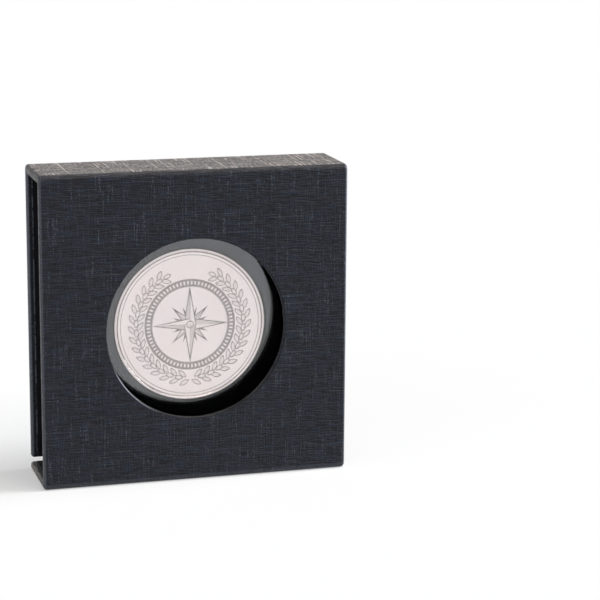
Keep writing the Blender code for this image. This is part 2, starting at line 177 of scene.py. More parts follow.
class CaseSizes(bpy.types.PropertyGroup):
    """Sizes of the papers, folds and edges that the pieces are modelled with."""

    cover_paper: metres("Cover paper", "Thickness of the linen paper", 0.0002)
    fold_paper: metres("Fold paper", "Thickness of the paper across a fold", 0.00006)
    fold_reach: metres("Fold reach", "Run of that paper along each board", 0.0045)
    wrapped_board: metres("Wrapped board", "Thickness of a board in its paper", 0.0018)
    glue_line: metres("Glue line", "Space between a paper and what it covers", 0.0001)
    lining_paper: metres("Lining paper", "Thickness of the black lining", 0.00015)
    lining_border: metres("Lining border", "Pale border of a lining", 0.00022)
    lining_reveal: metres("Lining reveal", "Cover paper left bare round a lining", 0.0012)
    lining_corner: metres("Lining corner", "Corner radius of a lining", 0.0004)
    lining_edge: metres("Lining edge", "Rounding of a lining's outline", 0.00004)
    fold_radius: metres("Fold radius", "Outer radius of a fold of the cover", 0.00145)
    mitre_gap: metres("Mitre gap", "Half of the cut where two boards meet", 0.00001)
    edge_radius: metres("Edge radius", "Rounding of the wrapped edges", 0.0007)
    turn_in: metres("Turn-in", "Width of the paper that is glued over inside", 0.0100)
    window_radius: metres("Window radius", "Radius of the round window", 0.0205)
    window_height: metres("Window height", "Height of the window's middle", 0.03505)
    window_rounding: metres("Window rounding", "Rounding of the window's edges", 0.00030)
    window_turn_in: metres("Window turn-in", "Paper turned in behind the window", 0.0040)
    tray_wall: metres("Tray wall", "Thickness of a wrapped wall of the tray", 0.0018)
    tray_corner: metres("Tray corner", "Corner radius of the tray", 0.0009)
    tray_rim: metres("Tray rim", "Rounding of the tray's rim", 0.0005)
    tray_turn_in: metres("Tray turn-in", "Paper turned in at the tray's mouth", 0.0080)
    tray_turn_under: metres("Tray turn-under", "Paper under the tray's floor", 0.0070)
    notch_radius: metres("Notch radius", "Radius of a finger notch", 0.0080)
    notch_reach: metres("Notch reach", "Reach of a notch past the pocket", 0.0038)
    notch_depth: metres("Notch depth", "Depth of a finger notch", 0.0080)
    foam_rounding: metres("Foam rounding", "Rounding of the foam's edges", 0.00025)
    capsule_corner: metres("Capsule corner", "Corner radius of the capsule", 0.0025)
    capsule_edge: metres("Capsule edge", "Rounding of the capsule's edges", 0.0004)
    capsule_plate: metres("Capsule plate", "Thickness of the clear plates", 0.0012)
    capsule_wall: metres("Capsule wall", "Thickness of the rear half's wall", 0.0018)
    capsule_lean: bpy.props.FloatProperty(
        name="Capsule lean", description="Lean that the mirror image in the capsule shows",
        default=math.radians(4.8), subtype="ANGLE", unit="ROTATION")
    lip_wall: metres("Lip wall", "Thickness of the lid's lip", 0.0010)
    ring_floor: metres("Ring floor", "Thickness of the ring behind the coin", 0.0005)
    ring_rounding: metres("Ring rounding", "Rounding round the recess", 0.00015)
    clearance: metres("Clearance", "Space between pieces that fit in each other", 0.0003)
    coin_rim: metres("Coin rim", "Width of the coin's raised rim", 0.0008)
    coin_rise: metres("Coin rise", "Height of the coin's raised rim", 0.00025)
    coin_bevel: metres("Coin bevel", "Bevel of the coin's edges", 0.00008)
    relief_height: metres("Relief height", "Height of the struck design", 0.00016)


class CaseColours(bpy.types.PropertyGroup):
    """Colours of the papers, plastics and metals, as linear values."""

    # Painted shade: the weave's hollows and the shaded window lip and flap inside take this colour
    linen_shade: paint("Linen deep", "Hollows of the linen paper", (0.001, 0.001, 0.003))
    linen_mid: paint("Linen mid", "Body of the linen paper", (0.0078, 0.0132, 0.0262))
    linen_warm: paint("Linen warm", "Warmer patches of the paper", (0.0096, 0.0104, 0.0200))
    # Painted highlight: lighter threads where light would catch them
    linen_thread_lit: paint("Linen thread", "Raised threads", (0.078, 0.092, 0.118))
    # Painted sheen: mixed into the colour where the paper is seen along its surface
    linen_sheen: paint("Linen nap", "Fibres seen along the paper", (0.64, 0.56, 0.50))
    # Painted highlight on the rims, partly wear: mixed in where light catches the rounded edges
    rubbed_and_lit_edge: paint("Worn edge", "Rubbed rims of the paper", (0.560, 0.610, 0.710))
    lining_black: paint("Lining", "Black lining paper", (0.007, 0.007, 0.009))
    cut_paper: paint("Cut paper", "Cut edge of the lining", (0.092, 0.112, 0.132))
    board_grey: paint("Greyboard", "Grey board in the cover", (0.270, 0.250, 0.220))
    foam_black: paint("Foam", "Black foam of the insert", (0.012, 0.012, 0.013))
    ring_black: paint("Ring", "Black ring round the coin", (0.005, 0.005, 0.006))
    clear_tint: paint("Clear plastic", "Tint of the capsule", (0.985, 0.992, 1.0))
    silver: paint("Silver", "Face of the coin", (0.825, 0.737, 0.715))
    # Painted shade and painted reflection along the design's lines
    silver_line_shade: paint("Silver deep", "Lines of the design", (0.150, 0.128, 0.122))
    nickel: paint("Nickel", "Plated magnets", (0.560, 0.540, 0.500))
    steel: paint("Steel", "Closing plates", (0.420, 0.420, 0.430))
    studio_white: paint("Studio white", "Floor and surround", (1.0, 1.0, 1.0))


def sizes():
    """The sizes of this scene."""
    return bpy.context.scene.coin_case_sizes


def colours():
    """The colours of this scene."""
    return bpy.context.scene.coin_case_colours


# Modelling steps

def deselect_all():
    """Leave edit mode and drop the selection."""
    if bpy.context.object and bpy.context.object.mode != "OBJECT":
        bpy.ops.object.mode_set(mode="OBJECT")
    bpy.ops.object.select_all(action="DESELECT")


def choose(item):
    """Make one object the only selected and active one."""
    deselect_all()
    item.select_set(True)
    bpy.context.view_layer.objects.active = item


def apply_place(item):
    """Move an object's place, turn and scale into its mesh."""
    choose(item)
    bpy.ops.object.transform_apply(location=True, rotation=True, scale=True)


def apply_modifier(item, kind, **values):
    """Add a modifier with its values and apply it."""
    choose(item)
    step = item.modifiers.new(kind, kind)
    for key, value in values.items():
        setattr(step, key, value)
    bpy.ops.object.modifier_apply(modifier=step.name)


def name_new(name):
    """Name the object that an operator has just added."""
    item = bpy.context.object
    item.name = name
    item.data.name = name
    return item


def add_block(name, low, high):
    """Closed block between two corners."""
    deselect_all()
    low, high = Vector(low), Vector(high)
    bpy.ops.mesh.primitive_cube_add(size=1.0, location=(low + high) / 2)
    item = name_new(name)
    item.scale = high - low
    apply_place(item)
    return item


def add_drum(name, radius, steps, start, end, turn=(0.0, 0.0, 0.0)):
    """Closed cylinder whose axis runs from start to end."""
    deselect_all()
    start, end = Vector(start), Vector(end)
    bpy.ops.mesh.primitive_cylinder_add(vertices=steps, radius=radius,
                                        depth=(end - start).length,
                                        location=(start + end) / 2, rotation=turn)
    item = name_new(name)
    apply_place(item)
    return item


def edit(item, kind, action="DESELECT"):
    """Enter edit mode on an object with nothing selected, or with everything."""
    choose(item)
    bpy.ops.object.mode_set(mode="EDIT")
    bpy.ops.mesh.select_mode(type=kind)
    bpy.ops.mesh.select_all(action=action)


def leave_edit():
    """Go back to object mode."""
    bpy.ops.object.mode_set(mode="OBJECT")


def extrude(step):
    """Extrude what is selected."""
    bpy.ops.mesh.extrude_region_move(TRANSFORM_OT_translate={"value": step})


def pick(item, kind, wanted):
    """Select the wanted faces or edges. Enters edit mode."""
    edit(item, kind)
    bm = bmesh.from_edit_mesh(item.data)
    found = [part for part in (bm.faces if kind == "FACE" else bm.edges) if wanted(part)]
    for part in found:
        part.select_set(True)
    bmesh.update_edit_mesh(item.data)
    if not found:
        raise RuntimeError("nothing was found on " + item.name)


def pick_faces(item, wanted):
    """Select the faces whose middle and normal are wanted. Enters edit mode."""
    pick(item, "FACE", lambda face: wanted(face.calc_center_median(), face.normal))


def pick_edges(item, wanted):
    """Select the edges whose two ends are wanted. Enters edit mode."""
    pick(item, "EDGE", lambda edge: wanted(edge.verts[0].co, edge.verts[1].co))


def round_edges(item, wanted, radius, segments):
    """Round the edges whose two ends are wanted."""
    pick_edges(item, wanted)
    bpy.ops.mesh.bevel(offset_type="OFFSET", offset=radius, segments=segments, profile=0.5,
                       affect="EDGES", clamp_overlap=False)
    leave_edit()


def add_rounded_block(name, low, high, radius, segments, inset=0.0, front=None, back=None):
    """Block with four round corners, smaller than low and high by inset, between two depths."""
    item = add_block(name,
                     (low.x + inset, low.y if front is None else front, low.z + inset),
                     (high.x - inset, high.y if back is None else back, high.z - inset))
    round_edges(item, lambda a, b: near(a.x, b.x) and near(a.z, b.z), radius, segments)
    return item


def trim(item, point, normal):
    """Cut an object with a plane, keep the side that the normal points to and close the cut."""
    edit(item, "VERT", "SELECT")
    bpy.ops.mesh.bisect(plane_co=point, plane_no=normal, use_fill=True, clear_inner=True,
                        threshold=1e-7)
    leave_edit()


def combine(item, other, operation):
    """Cut or join an object with another one, which is then deleted."""
    apply_modifier(item, "BOOLEAN", operation=operation, solver="EXACT", object=other)
    bpy.data.objects.remove(other, do_unlink=True)


def cut(item, cutter):
    """Take a cutter away from an object."""
    combine(item, cutter, "DIFFERENCE")


def finish_surface(item, angle=35.0):
    """Smooth the rounded parts, and keep the large faces flat by weighted normals."""
    choose(item)
    bpy.ops.object.shade_smooth_by_angle(angle=math.radians(angle))
    apply_modifier(item, "WEIGHTED_NORMAL", mode="FACE_AREA", weight=100, keep_sharp=True)
    return item


def near(a, b, within=2e-6):
    """Whether two lengths are the same for modelling."""
    return abs(a - b) < within


def both_at(a, b, axis, place):
    """Whether two spots lie at a place along an axis."""
    return near(a[axis], place) and near(b[axis], place)


def on_circle(a, b, axis, middle, radius):
    """Whether two spots lie on a circle round X = 0 and a middle along another axis."""
    return all(near(math.hypot(spot.x, spot[axis] - middle), radius, 1e-5) for spot in (a, b))


def read_triples(items, name):
    """The three numbers that each item has under a name, as rows of an array."""
    values = np.empty(len(items) * 3)
    items.foreach_get(name, values)
    return values.reshape(-1, 3)


def soft_step(value, low, high):
    """Smooth step of an array from 0 at low to 1 at high."""
    share = np.clip((value - low) / (high - low), 0.0, 1.0)
    return share * share * (3 - 2 * share)


def mark_points(mesh, name, values):
    """Store a number for each vertex under a name that a material reads."""
    mark = mesh.attributes.new(name, "FLOAT", "POINT")
    mark.data.foreach_set("value", np.asarray(values, dtype=np.float32))


def draw_path(name, points):
    """A line of edges through the points. A plane is merged to one vertex and extruded."""
    deselect_all()
    bpy.ops.mesh.primitive_plane_add(size=0.01, location=points[0])
    item = name_new(name)
    apply_place(item)
    edit(item, "VERT", "SELECT")
    bpy.ops.mesh.merge(type="CENTER")
    for before, after in zip(points, points[1:]):
        extrude(Vector(after) - Vector(before))
    leave_edit()
    return item


def add_sheet(name, path, half_width, thickness):
    """A sheet of even thickness along a path of (y, z) points, to both sides of X = 0."""
    item = draw_path(name, [(-half_width, y, z) for y, z in path])
    edit(item, "VERT", "SELECT")
    extrude((2 * half_width, 0.0, 0.0))
    leave_edit()
    apply_modifier(item, "SOLIDIFY", thickness=thickness, offset=0.0, use_even_offset=True)
    edit(item, "FACE", "SELECT")
    bpy.ops.mesh.normals_make_consistent(inside=False)
    leave_edit()
    return item


# Node trees

class Nodes:
    """Short ways to add nodes to a tree."""

    def __init__(self, tree):
        self.tree = tree

    def plug(self, socket, value):
        """Link a socket or set its value. A colour may come without its alpha."""
        if isinstance(value, bpy.types.NodeSocket):
            self.tree.links.new(value, socket)
        elif socket.type == "RGBA" and len(value) == 3:
            socket.default_value = (*value, 1.0)
        else:
            socket.default_value = value

    def add(self, kind, **values):
        """Add a node. Values are its settings by name, or its sockets as in_NAME or in_NUMBER."""
        made = self.tree.nodes.new(kind)
        row, place = divmod(len(self.tree.nodes), 8)
        made.location = (220 * place - 1800, 300 - 260 * row)
        sockets = {key: values.pop(key) for key in list(values) if key.startswith("in_")}
        for key, value in values.items():
            setattr(made, key, value)
        for key, value in sockets.items():
            name = key[3:].replace("_", " ")
            self.plug(made.inputs[int(name) if name.isdigit() else name], value)
        return made

    def maths(self, operation, *values):
        """A Math node's result."""
        made = self.add("ShaderNodeMath", operation=operation)
        for socket, value in zip(made.inputs, values):
            self.plug(socket, value)
        return made.outputs[0]

    def times(self, first, second):
        """Product of two values."""
        return self.maths("MULTIPLY", first, second)

    def total(self, *parts, start=0.0):
        """Start, and the sum of values that each come with a share."""
        for value, share in parts:
            start = self.maths("MULTIPLY_ADD", value, share, start)
        return start

    def spread(self, value, low, high, to_low=0.0, to_high=1.0):
        """A value carried smoothly from one range to another, and held at its ends."""
        return self.add("ShaderNodeMapRange", interpolation_type="SMOOTHSTEP", in_0=value,
                        in_1=low, in_2=high, in_3=to_low, in_4=to_high).outputs[0]

    def mixed(self, share, first, second):
        """A mix of two colours."""
        return self.add("ShaderNodeMix", data_type="RGBA", in_0=share, in_6=first,
                        in_7=second).outputs[2]

    def noise(self, place, stretch, detail=2.0, rough=0.5):
        """Noise on a place that is stretched by three factors, or by one for all three."""
        if not isinstance(stretch, tuple):
            stretch = (stretch, stretch, stretch)
        mapped = self.add("ShaderNodeMapping", in_Vector=place, in_Scale=stretch)
        return self.add("ShaderNodeTexNoise", in_Vector=mapped.outputs[0], in_Scale=1.0,
                        in_Detail=detail, in_Roughness=rough).outputs[0]

    def attribute(self, name):
        """A number that is stored on the mesh."""
        return self.add("ShaderNodeAttribute", attribute_name=name).outputs["Fac"]

    def parts(self, vector):
        """The three numbers of a vector."""
        return self.add("ShaderNodeSeparateXYZ", in_0=vector).outputs

    def seen_directly(self):
        """1 for camera, glossy and transmission rays, and 0 for light that falls on things."""
        path = self.add("ShaderNodeLightPath").outputs
        glossy = self.maths("MAXIMUM", path["Is Camera Ray"], path["Is Glossy Ray"])
        return self.maths("MAXIMUM", glossy, path["Is Transmission Ray"])


class Finish(Nodes):
    """A new node material with its Principled shader."""

    def __init__(self, name):
        self.material = bpy.data.materials.new(name)
        self.material.use_nodes = True
        super().__init__(self.material.node_tree)
        self.shader = self.tree.nodes["Principled BSDF"]
        coordinates = self.add("ShaderNodeTexCoord").outputs
        self.spot, self.normal = coordinates["Object"], coordinates["Normal"]

    def shade(self, **values):
        """Set or link the shader's sockets, named with _ for each space. Returns the material."""
        for key, value in values.items():
            self.plug(self.shader.inputs[key.replace("_", " ")], value)
        return self.material

    def bump(self, height, distance, strength=1.0):
        """Normal driven by a height."""
        return self.add("ShaderNodeBump", in_Strength=strength, in_Distance=distance,
                        in_Height=height).outputs[0]

    def lean(self):
        """Normal turned downwards, for what a capsule mirrors that leans in its pocket."""
        turned = self.add("ShaderNodeVectorRotate", rotation_type="X_AXIS", in_Vector=self.normal,
                          in_Angle=sizes().capsule_lean).outputs[0]
        return self.add("ShaderNodeVectorTransform", vector_type="NORMAL", convert_from="OBJECT",
                        convert_to="WORLD", in_Vector=turned).outputs[0]

    def surface_plane(self):
        """Places across and along the surface that a point is on, for patterns on paper."""
        place = self.parts(self.spot)
        size = self.parts(self.add("ShaderNodeVectorMath", operation="ABSOLUTE",
                                   in_0=self.normal).outputs[0])
        side = self.maths("GREATER_THAN", size[0], 0.72)
        level = self.maths("GREATER_THAN", size[2], self.maths("MAXIMUM", size[1], 0.5))
        across = self.add("ShaderNodeMix", in_0=side, in_2=place[0], in_3=place[1]).outputs[0]
        along = self.add("ShaderNodeMix", in_0=level, in_2=place[2], in_3=place[1]).outputs[0]
        return self.add("ShaderNodeCombineXYZ", in_0=across, in_1=along,
                        in_2=self.total((side, 0.37), start=level)).outputs[0]


def linen_material():
    """Dark paper embossed like linen: crossed threads, a few long raised ones and fine grain. Its
    colour also holds painted light: shade in the weave's hollows, highlights on threads, rims and
    folds, and a sheen where the paper is seen along its surface.
    """
    made, hue = Finish("linen_paper_finish"), colours()
    plane = made.surface_plane()
    band = {name: made.spread(made.noise(plane, *layer[:3]), *layer[3:])
            for name, layer in LINEN_LAYERS.items()}
    grain = made.noise(plane, (6500, 6500, 3), 1.0, 0.6)

    cloth = made.total((band["warp"], 0.18), (band["weft"], 0.56), (band["rows"], 0.26))
    dotted = made.times(band["slub"], made.total((band["dots"], 0.92), start=0.08))
    fine = made.times(band["long_weft"], made.spread(grain, 0.35, 0.6, 0.3, 1.0))
    ground = made.mixed(band["patch"], hue.linen_mid, hue.linen_warm)
    # Painted shade in the weave's hollows
    ground = made.mixed(cloth, hue.linen_shade, ground)
    # Painted highlight on the lighter threads
    colour = made.mixed(made.total((fine, 0.26), (dotted, 0.60)), ground, hue.linen_thread_lit)

    # Painted highlight on the rims, partly wear, from the mark that mark_rims stores
    rim = made.times(made.attribute("rim_wear_and_highlight"), made.spread(grain, 0.35, 0.6, 0.45, 1.0))
    colour = made.mixed(rim, colour, hue.rubbed_and_lit_edge)
    # Painted shade where the paper is marked as shaded
    colour = made.mixed(made.times(made.attribute("shaded"), 0.97), colour, hue.linen_shade)

    # Painted sheen: the fibres' pale colour mixed in where the paper is seen along its surface,
    # cut back by its mark
    facing = made.add("ShaderNodeLayerWeight", in_Blend=0.5).outputs["Facing"]
    sheen_left = made.maths("SUBTRACT", 1.0, made.attribute("sheen_cut"))
    sheen = made.times(made.spread(facing, 0.50, 0.80), sheen_left)
    sheen_pattern = made.total((band["rows"], 0.14), (band["strand"], 0.30),
                     (made.times(band["long_warp"], band["broken"]), 0.75))
    # Painted highlight on the top folds
    fold_highlight = made.times(made.attribute("fold_highlight"), made.total((cloth, 0.050), start=0.022))
    colour = made.mixed(made.total((sheen, sheen_pattern), start=fold_highlight), colour, hue.linen_sheen)

    raised = made.total((cloth, 0.62), (band["long_warp"], 0.07))
    return made.shade(
        Base_Color=colour, Roughness=made.spread(raised, 0.1, 0.8, 0.62, 0.38),
        Specular_IOR_Level=0.24, Sheen_Weight=0.12, Sheen_Roughness=0.35,
        Sheen_Tint=(1.0, 0.94, 0.90),
        Normal=made.bump(made.total((grain, 0.15), start=raised), 0.00030))


def lining_material():
    """Smooth black paper with a faint fibre grain."""
    made = Finish("lining_finish")
    fibre = made.noise(made.surface_plane(), (900, 900, 2), 4.0, 0.65)
    return made.shade(
        Base_Color=made.mixed(made.spread(fibre, 0.3, 0.7), colours().lining_black,
                              (0.013, 0.013, 0.016)),
        Roughness=made.spread(fibre, 0.3, 0.7, 0.70, 0.85), Specular_IOR_Level=0.08,
        Normal=made.bump(fibre, 0.00003, 0.5))


def cut_edge_material():
    """Cut edge of the lining: a pale core that shows in short broken pieces."""
    made = Finish("lining_cut_edge")
    breaks = made.noise(made.spot, 500, 3.0, 0.7)
    fibre = made.noise(made.spot, 4000)
    shown = made.times(made.spread(breaks, 0.44, 0.56), made.spread(fibre, 0.3, 0.55, 0.45, 1.0))
    return made.shade(
        Base_Color=made.mixed(shown, colours().lining_black, colours().cut_paper),
        Roughness=made.spread(fibre, 0.3, 0.7, 0.7, 0.9), Normal=made.bump(fibre, 0.00003, 0.5))


def greyboard_material():
    """Grey board of pressed waste paper, with black paper where the flap folds open."""
    made, folded = Finish("greyboard_finish"), 0.0027
    fibre = made.noise(made.spot, (500, 1500, 2500), 5.0, 0.7)
    fleck = made.noise(made.spot, 2600, 1.0)
    shade = made.mixed(made.spread(fibre, 0.3, 0.7), (0.19, 0.175, 0.155), colours().board_grey)
    shade = made.mixed(made.spread(fleck, 0.68, 0.74, 0.0, 0.6), shade, (0.06, 0.055, 0.05))
    place = made.parts(made.spot)
    papered = made.times(made.maths("LESS_THAN", place[2], folded),
                         made.maths("LESS_THAN", place[1], front_face + folded))
    return made.shade(
        Base_Color=made.mixed(papered, shade, colours().lining_black),
        Roughness=made.spread(fibre, 0.3, 0.7, 0.8, 0.95), Normal=made.bump(fibre, 0.00006, 0.6))


def foam_material():
    """Fine closed-cell foam, black and matt."""
    made = Finish("foam_finish")
    cells = made.add("ShaderNodeTexVoronoi", in_Vector=made.spot, in_Scale=3200.0).outputs[0]
    cloud = made.noise(made.spot, 250, 3.0)
    shade = made.mixed(made.spread(cells, 0.1, 0.6), (0.004, 0.004, 0.005), colours().foam_black)
    return made.shade(
        Base_Color=made.mixed(made.spread(cloud, 0.4, 0.7, 0.0, 0.35), shade,
                              (0.022, 0.022, 0.024)),
        Roughness=made.spread(cloud, 0.3, 0.7, 0.85, 0.98), Normal=made.bump(cells, 0.00010, 0.7))


def ring_material():
    """Black insert of the capsule: dense, smooth and glossy."""
    made = Finish("ring_finish")
    skin = made.noise(made.spot, 300, 3.0)
    return made.shade(
        Base_Color=made.mixed(made.spread(skin, 0.3, 0.7), (0.002, 0.002, 0.003),
                              colours().ring_black),
        Roughness=made.spread(skin, 0.3, 0.7, 0.035, 0.055), Specular_IOR_Level=0.84,
        Specular_Tint=(0.86, 0.89, 1.0), Normal=made.lean())


def clear_material():
    """Clear polystyrene with a faintly uneven moulded surface."""
    made = Finish("clear_plastic_finish")
    flow = made.noise(made.spot, 60)
    return made.shade(
        Base_Color=made.mixed(made.spread(flow, 0.3, 0.7), (1.0, 1.0, 1.0),
                              colours().clear_tint),
        Roughness=made.spread(flow, 0.3, 0.7, 0.0, 0.02), Transmission_Weight=1.0, IOR=1.59,
        Normal=made.lean())


def coin_material():
    """Struck silver alloy: pale and satin, with painted shade and painted reflection darkening it
    along the lines of the design.
    """
    made = Finish("coin_silver_finish")
    satin = made.noise(made.spot, 700, 3.0, 0.6)
    cloud = made.noise(made.spot, 90)
    face = made.mixed(made.spread(cloud, 0.35, 0.65, 0.0, 0.35), colours().silver,
                      (0.86, 0.81, 0.81))
    return made.shade(
        Base_Color=made.mixed(made.attribute("design_line_shade"), face, colours().silver_line_shade),
        Roughness=made.spread(satin, 0.3, 0.7, 0.15, 0.21), Metallic=1.0,
        Normal=made.bump(satin, 0.000006, 0.15))


def metal_material(name, colour, stretch, low, high):
    """A plain metal with fine marks that are stretched by three factors."""
    made = Finish(name)
    marks = made.noise(made.spot, stretch, 3.0, 0.6)
    darker = tuple(part * 0.7 for part in colour)
    return made.shade(
        Base_Color=made.mixed(made.spread(marks, 0.3, 0.7), darker, colour),
        Roughness=made.spread(marks, 0.3, 0.7, low, high), Metallic=1.0,
        Normal=made.bump(marks, 0.00001, 0.4))


def give(item, *materials):
    """Give an object its materials, in order."""
    for material in materials:
        item.data.materials.append(material)


def dress_node(name, material):
    """Give a carried-over solid its finish."""
    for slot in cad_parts[name].material_slots:
        slot.material = material


def hand_over(item, body, node, slot, *materials):
    """Finish a piece and put it on its body, in place of a CAD node."""
    give(item, *materials)
    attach(item, body)
    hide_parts(node)


# Cover

def stand(item, part):
    """Move a piece from the flat strip to its place on the shut case."""
    corner, turn, _ = PLACES[part]
    item.matrix_world = Matrix.Translation(corner) @ Matrix.Rotation(turn, 4, "X")
    apply_place(item)


def window_spot():
    """Distance of the window's middle along the front board."""
    return case_height - sizes().window_height


def add_window_cutter(past, low, high):
    """Drum on the window's axis, wider than it by past, between two depths of the board."""
    middle = window_spot()
    return add_drum("window", sizes().window_radius + past, WINDOW_STEPS, (0, middle, low),
                    (0, middle, high))


def add_wrapped_form(name, low, high, radius, rounding, first_mitre, last_mitre):
    """A board's form. It is rounded and mitred at each fold, and its other rims are rounded.

    A mitre is the place where its plane meets the outer face, or None at an end with no fold.
    """
    item = add_block(name, low, high)
    for end, mitre, side in ((low.y, first_mitre, 1), (high.y, last_mitre, -1)):
        if mitre is not None:
            round_edges(item, lambda a, b: both_at(a, b, Y, end) and both_at(a, b, Z, low.z),
                        radius, FOLD_STEPS)
            trim(item, (0, mitre, 0), (0, side, -1))

    def on_mitre(spot):
        first = first_mitre is not None and near(spot.y - spot.z, first_mitre)
        last = last_mitre is not None and near(spot.y + spot.z, last_mitre)
        return first or last

    def on_rim(a, b):
        if near(abs(a.x), high.x) and near(a.x, b.x):
            return not (on_mitre(a) and on_mitre(b))
        free_low = first_mitre is None and both_at(a, b, Y, low.y)
        return free_low or (last_mitre is None and both_at(a, b, Y, high.y))

    round_edges(item, on_rim, rounding, RIM_STEPS)
    return item


def add_cover_panel(part, first_fold, last_fold):
    """One board's share of the cover paper, hollow, with its turned-in edges."""
    size = sizes()
    length, half, inner = PLACES[part][2], case_width / 2, size.wrapped_board
    paper, edge = size.cover_paper, size.turn_in
    low, high = Vector((-half, 0, 0)), Vector((half, length, inner))
    skin = Vector((paper, paper, paper))

    def mitres(past):
        """Mitre places of the two ends, moved outwards by past."""
        return (-past if first_fold else None, length + past if last_fold else None)

    item = add_wrapped_form("cover_" + part, low, high, size.fold_radius, size.edge_radius,
                            *mitres(-size.mitre_gap))
    hollow = add_wrapped_form("hollow", low + skin, high - skin, size.fold_radius - paper,
                              size.edge_radius - paper, *mitres(paper))
    opening = add_block("opening", (edge - half, -REACH if first_fold else edge, inner / 2),
                        (half - edge, length + (REACH if last_fold else -edge), inner + REACH))
    if part == "front":
        cut(hollow, add_window_cutter(paper, -REACH, inner + REACH))
        cut(opening, add_window_cutter(size.window_turn_in, -REACH, inner + 2 * REACH))
    cut(item, hollow)
    cut(item, opening)
    if part == "front":
        cut(item, add_window_cutter(0.0, -REACH, inner + REACH))
        for face in (0.0, inner):
            round_edges(item, lambda a, b: both_at(a, b, Z, face)
                        and on_circle(a, b, Y, window_spot(), size.window_radius),
                        size.window_rounding, 4)
    stand(item, part)
    finish_surface(item)
    mark_rims(item, part)
    return item


def mark_rims(item, part):
    """Mark painted light on the paper: highlights on rims, partly wear; where its painted sheen is
    cut back; painted shade; and a painted highlight where it bends at a fold.
    """
    size = sizes()
    x, y, z = read_triples(item.data.vertices, "co").T
    turn_x, turn_y, turn_z = read_triples(item.data.vertex_normals, "vector").T

    rim = soft_step(abs(turn_y), 0.15, 0.40) * (1 - soft_step(abs(turn_y), 0.90, 0.985))
    rim = rim * soft_step(abs(turn_x), 0.12, 0.28)
    up = z - size.window_height
    away = np.hypot(x, up)
    window = away < size.window_radius + 0.9 * size.window_rounding
    low_left = np.clip(-(x + up) / np.maximum(away, 1e-6) / math.sqrt(2), 0, 1)
    # Painted highlight, partly wear: strong on the window's lower-left edge, faint on the outer
    # rims
    rim_wear_and_highlight = rim * np.where(window, soft_step(low_left, 0.92, 0.99), np.where(x > 0, 0.12, 0.14))
    # Painted highlight on the back board's inner rounding
    if part == "back":
        inner = soft_step(abs(turn_x), 0.05, 0.35) * (turn_y < 0) * (x < 0)
        rim_wear_and_highlight = np.maximum(rim_wear_and_highlight, 0.25 * inner)

    # Painted highlight on the rounding of the top folds, where light from above catches it
    fold_highlight = (z > case_height - size.fold_radius + 1e-5) & (abs(turn_x) < 0.3)
    fold_highlight = fold_highlight * soft_step(turn_z, 0.30, 0.75) * (abs(turn_y) > 0.02)
    # Painted highlight on the right-hand rim towards the top
    high = soft_step(z, 0.044, 0.066) * soft_step(x, case_width / 2 - 0.001, case_width / 2)
    rim_wear_and_highlight = np.where(window, rim_wear_and_highlight, rim_wear_and_highlight + 0.30 * rim * high)
    # Painted sheen is cut back on the side faces and in the window, and raised on the flap's sides
    # by a value below 0
    side = -0.5 if part == "flap" else 0.80
    sheen_cut = np.where(window, 1.0, side * soft_step(abs(turn_x), 0.2, 0.6))
    shaded = window * soft_step(turn_z, 0.2, 0.7)
    # On the bottom fold the painted sheen is cut and a faint painted highlight, partly wear, is
    # added
    if part in ("front", "flap"):
        bend = size.fold_radius - 1e-5
        folded = (z < bend) & (y < front_face + bend)
        sheen_cut = np.where(folded, 1.0, sheen_cut)
        rim_wear_and_highlight = np.where(folded & (abs(turn_x) < 0.3), 0.05, rim_wear_and_highlight)
    # On the flap's inner face the painted sheen is cut and painted shade is laid
    if part == "flap":
        inside = (turn_z > 0.5) & (abs(turn_x) < 0.3)
        sheen_cut = np.where(inside, 1.0, sheen_cut)
        shaded = inside * 1.0
    for name, values in (("rim_wear_and_highlight", rim_wear_and_highlight), ("sheen_cut", sheen_cut), ("shaded", shaded),
                         ("fold_highlight", fold_highlight)):
        mark_points(item.data, name, values)


def add_lining(part, finishes, first_fold, last_fold):
    """Lining paper of one board, with a face and an edge finish. It runs to each fold."""
    size = sizes()
    length, half = PLACES[part][2], case_width / 2 - size.lining_reveal
    low = size.wrapped_board + size.glue_line
    high = low + size.lining_paper
    start = high + HAIR if first_fold else size.lining_reveal
    end = length - (high + HAIR if last_fold else size.lining_reveal)
    item = add_block("lining_sheet_" + part, (-half, start, low), (half, end, high))
    round_edges(item, lambda a, b: near(a.x, b.x) and near(a.y, b.y), size.lining_corner, 4)
    if part == "front":
        cut(item, add_window_cutter(size.lining_reveal, 0.0, high + REACH))
    round_edges(item, lambda a, b: both_at(a, b, Z, high) and (
        (near(abs(a.x), half) and near(a.x, b.x)) or both_at(a, b, Y, start)
        or both_at(a, b, Y, end)), size.lining_edge, 2)
    give(item, *finishes)
    item.active_material_index = 1
    if part == "back":
        pick_faces(item, lambda middle, normal: normal.z > 0.99)
        bpy.ops.mesh.inset(thickness=size.lining_border, depth=0.0, use_boundary=True,
                           use_even_offset=True)
        leave_edit()
    pick_faces(item, lambda middle, normal: abs(normal.z) < 0.5 or (
        normal.z > 0.5 and abs(middle.x) > half - size.lining_border))
    bpy.ops.object.material_slot_assign()
    leave_edit()
    stand(item, part)
    return finish_surface(item)


def fold_path(depth, radius):
    """Points of an arc and two straight runs at a depth under the cover's outer face.

    The arc's middle lies at the radius from both outer faces.
    """
    bend, reach = radius - depth, sizes().fold_reach
    half_way = (reach + radius) / 2
    turns = [QUARTER * i / PAPER_FOLD_STEPS for i in range(PAPER_FOLD_STEPS + 1)]
    return [(reach, depth), (half_way, depth),
            *((radius - bend * math.sin(turn), radius - bend * math.cos(turn)) for turn in turns),
            (depth, half_way), (depth, reach)]


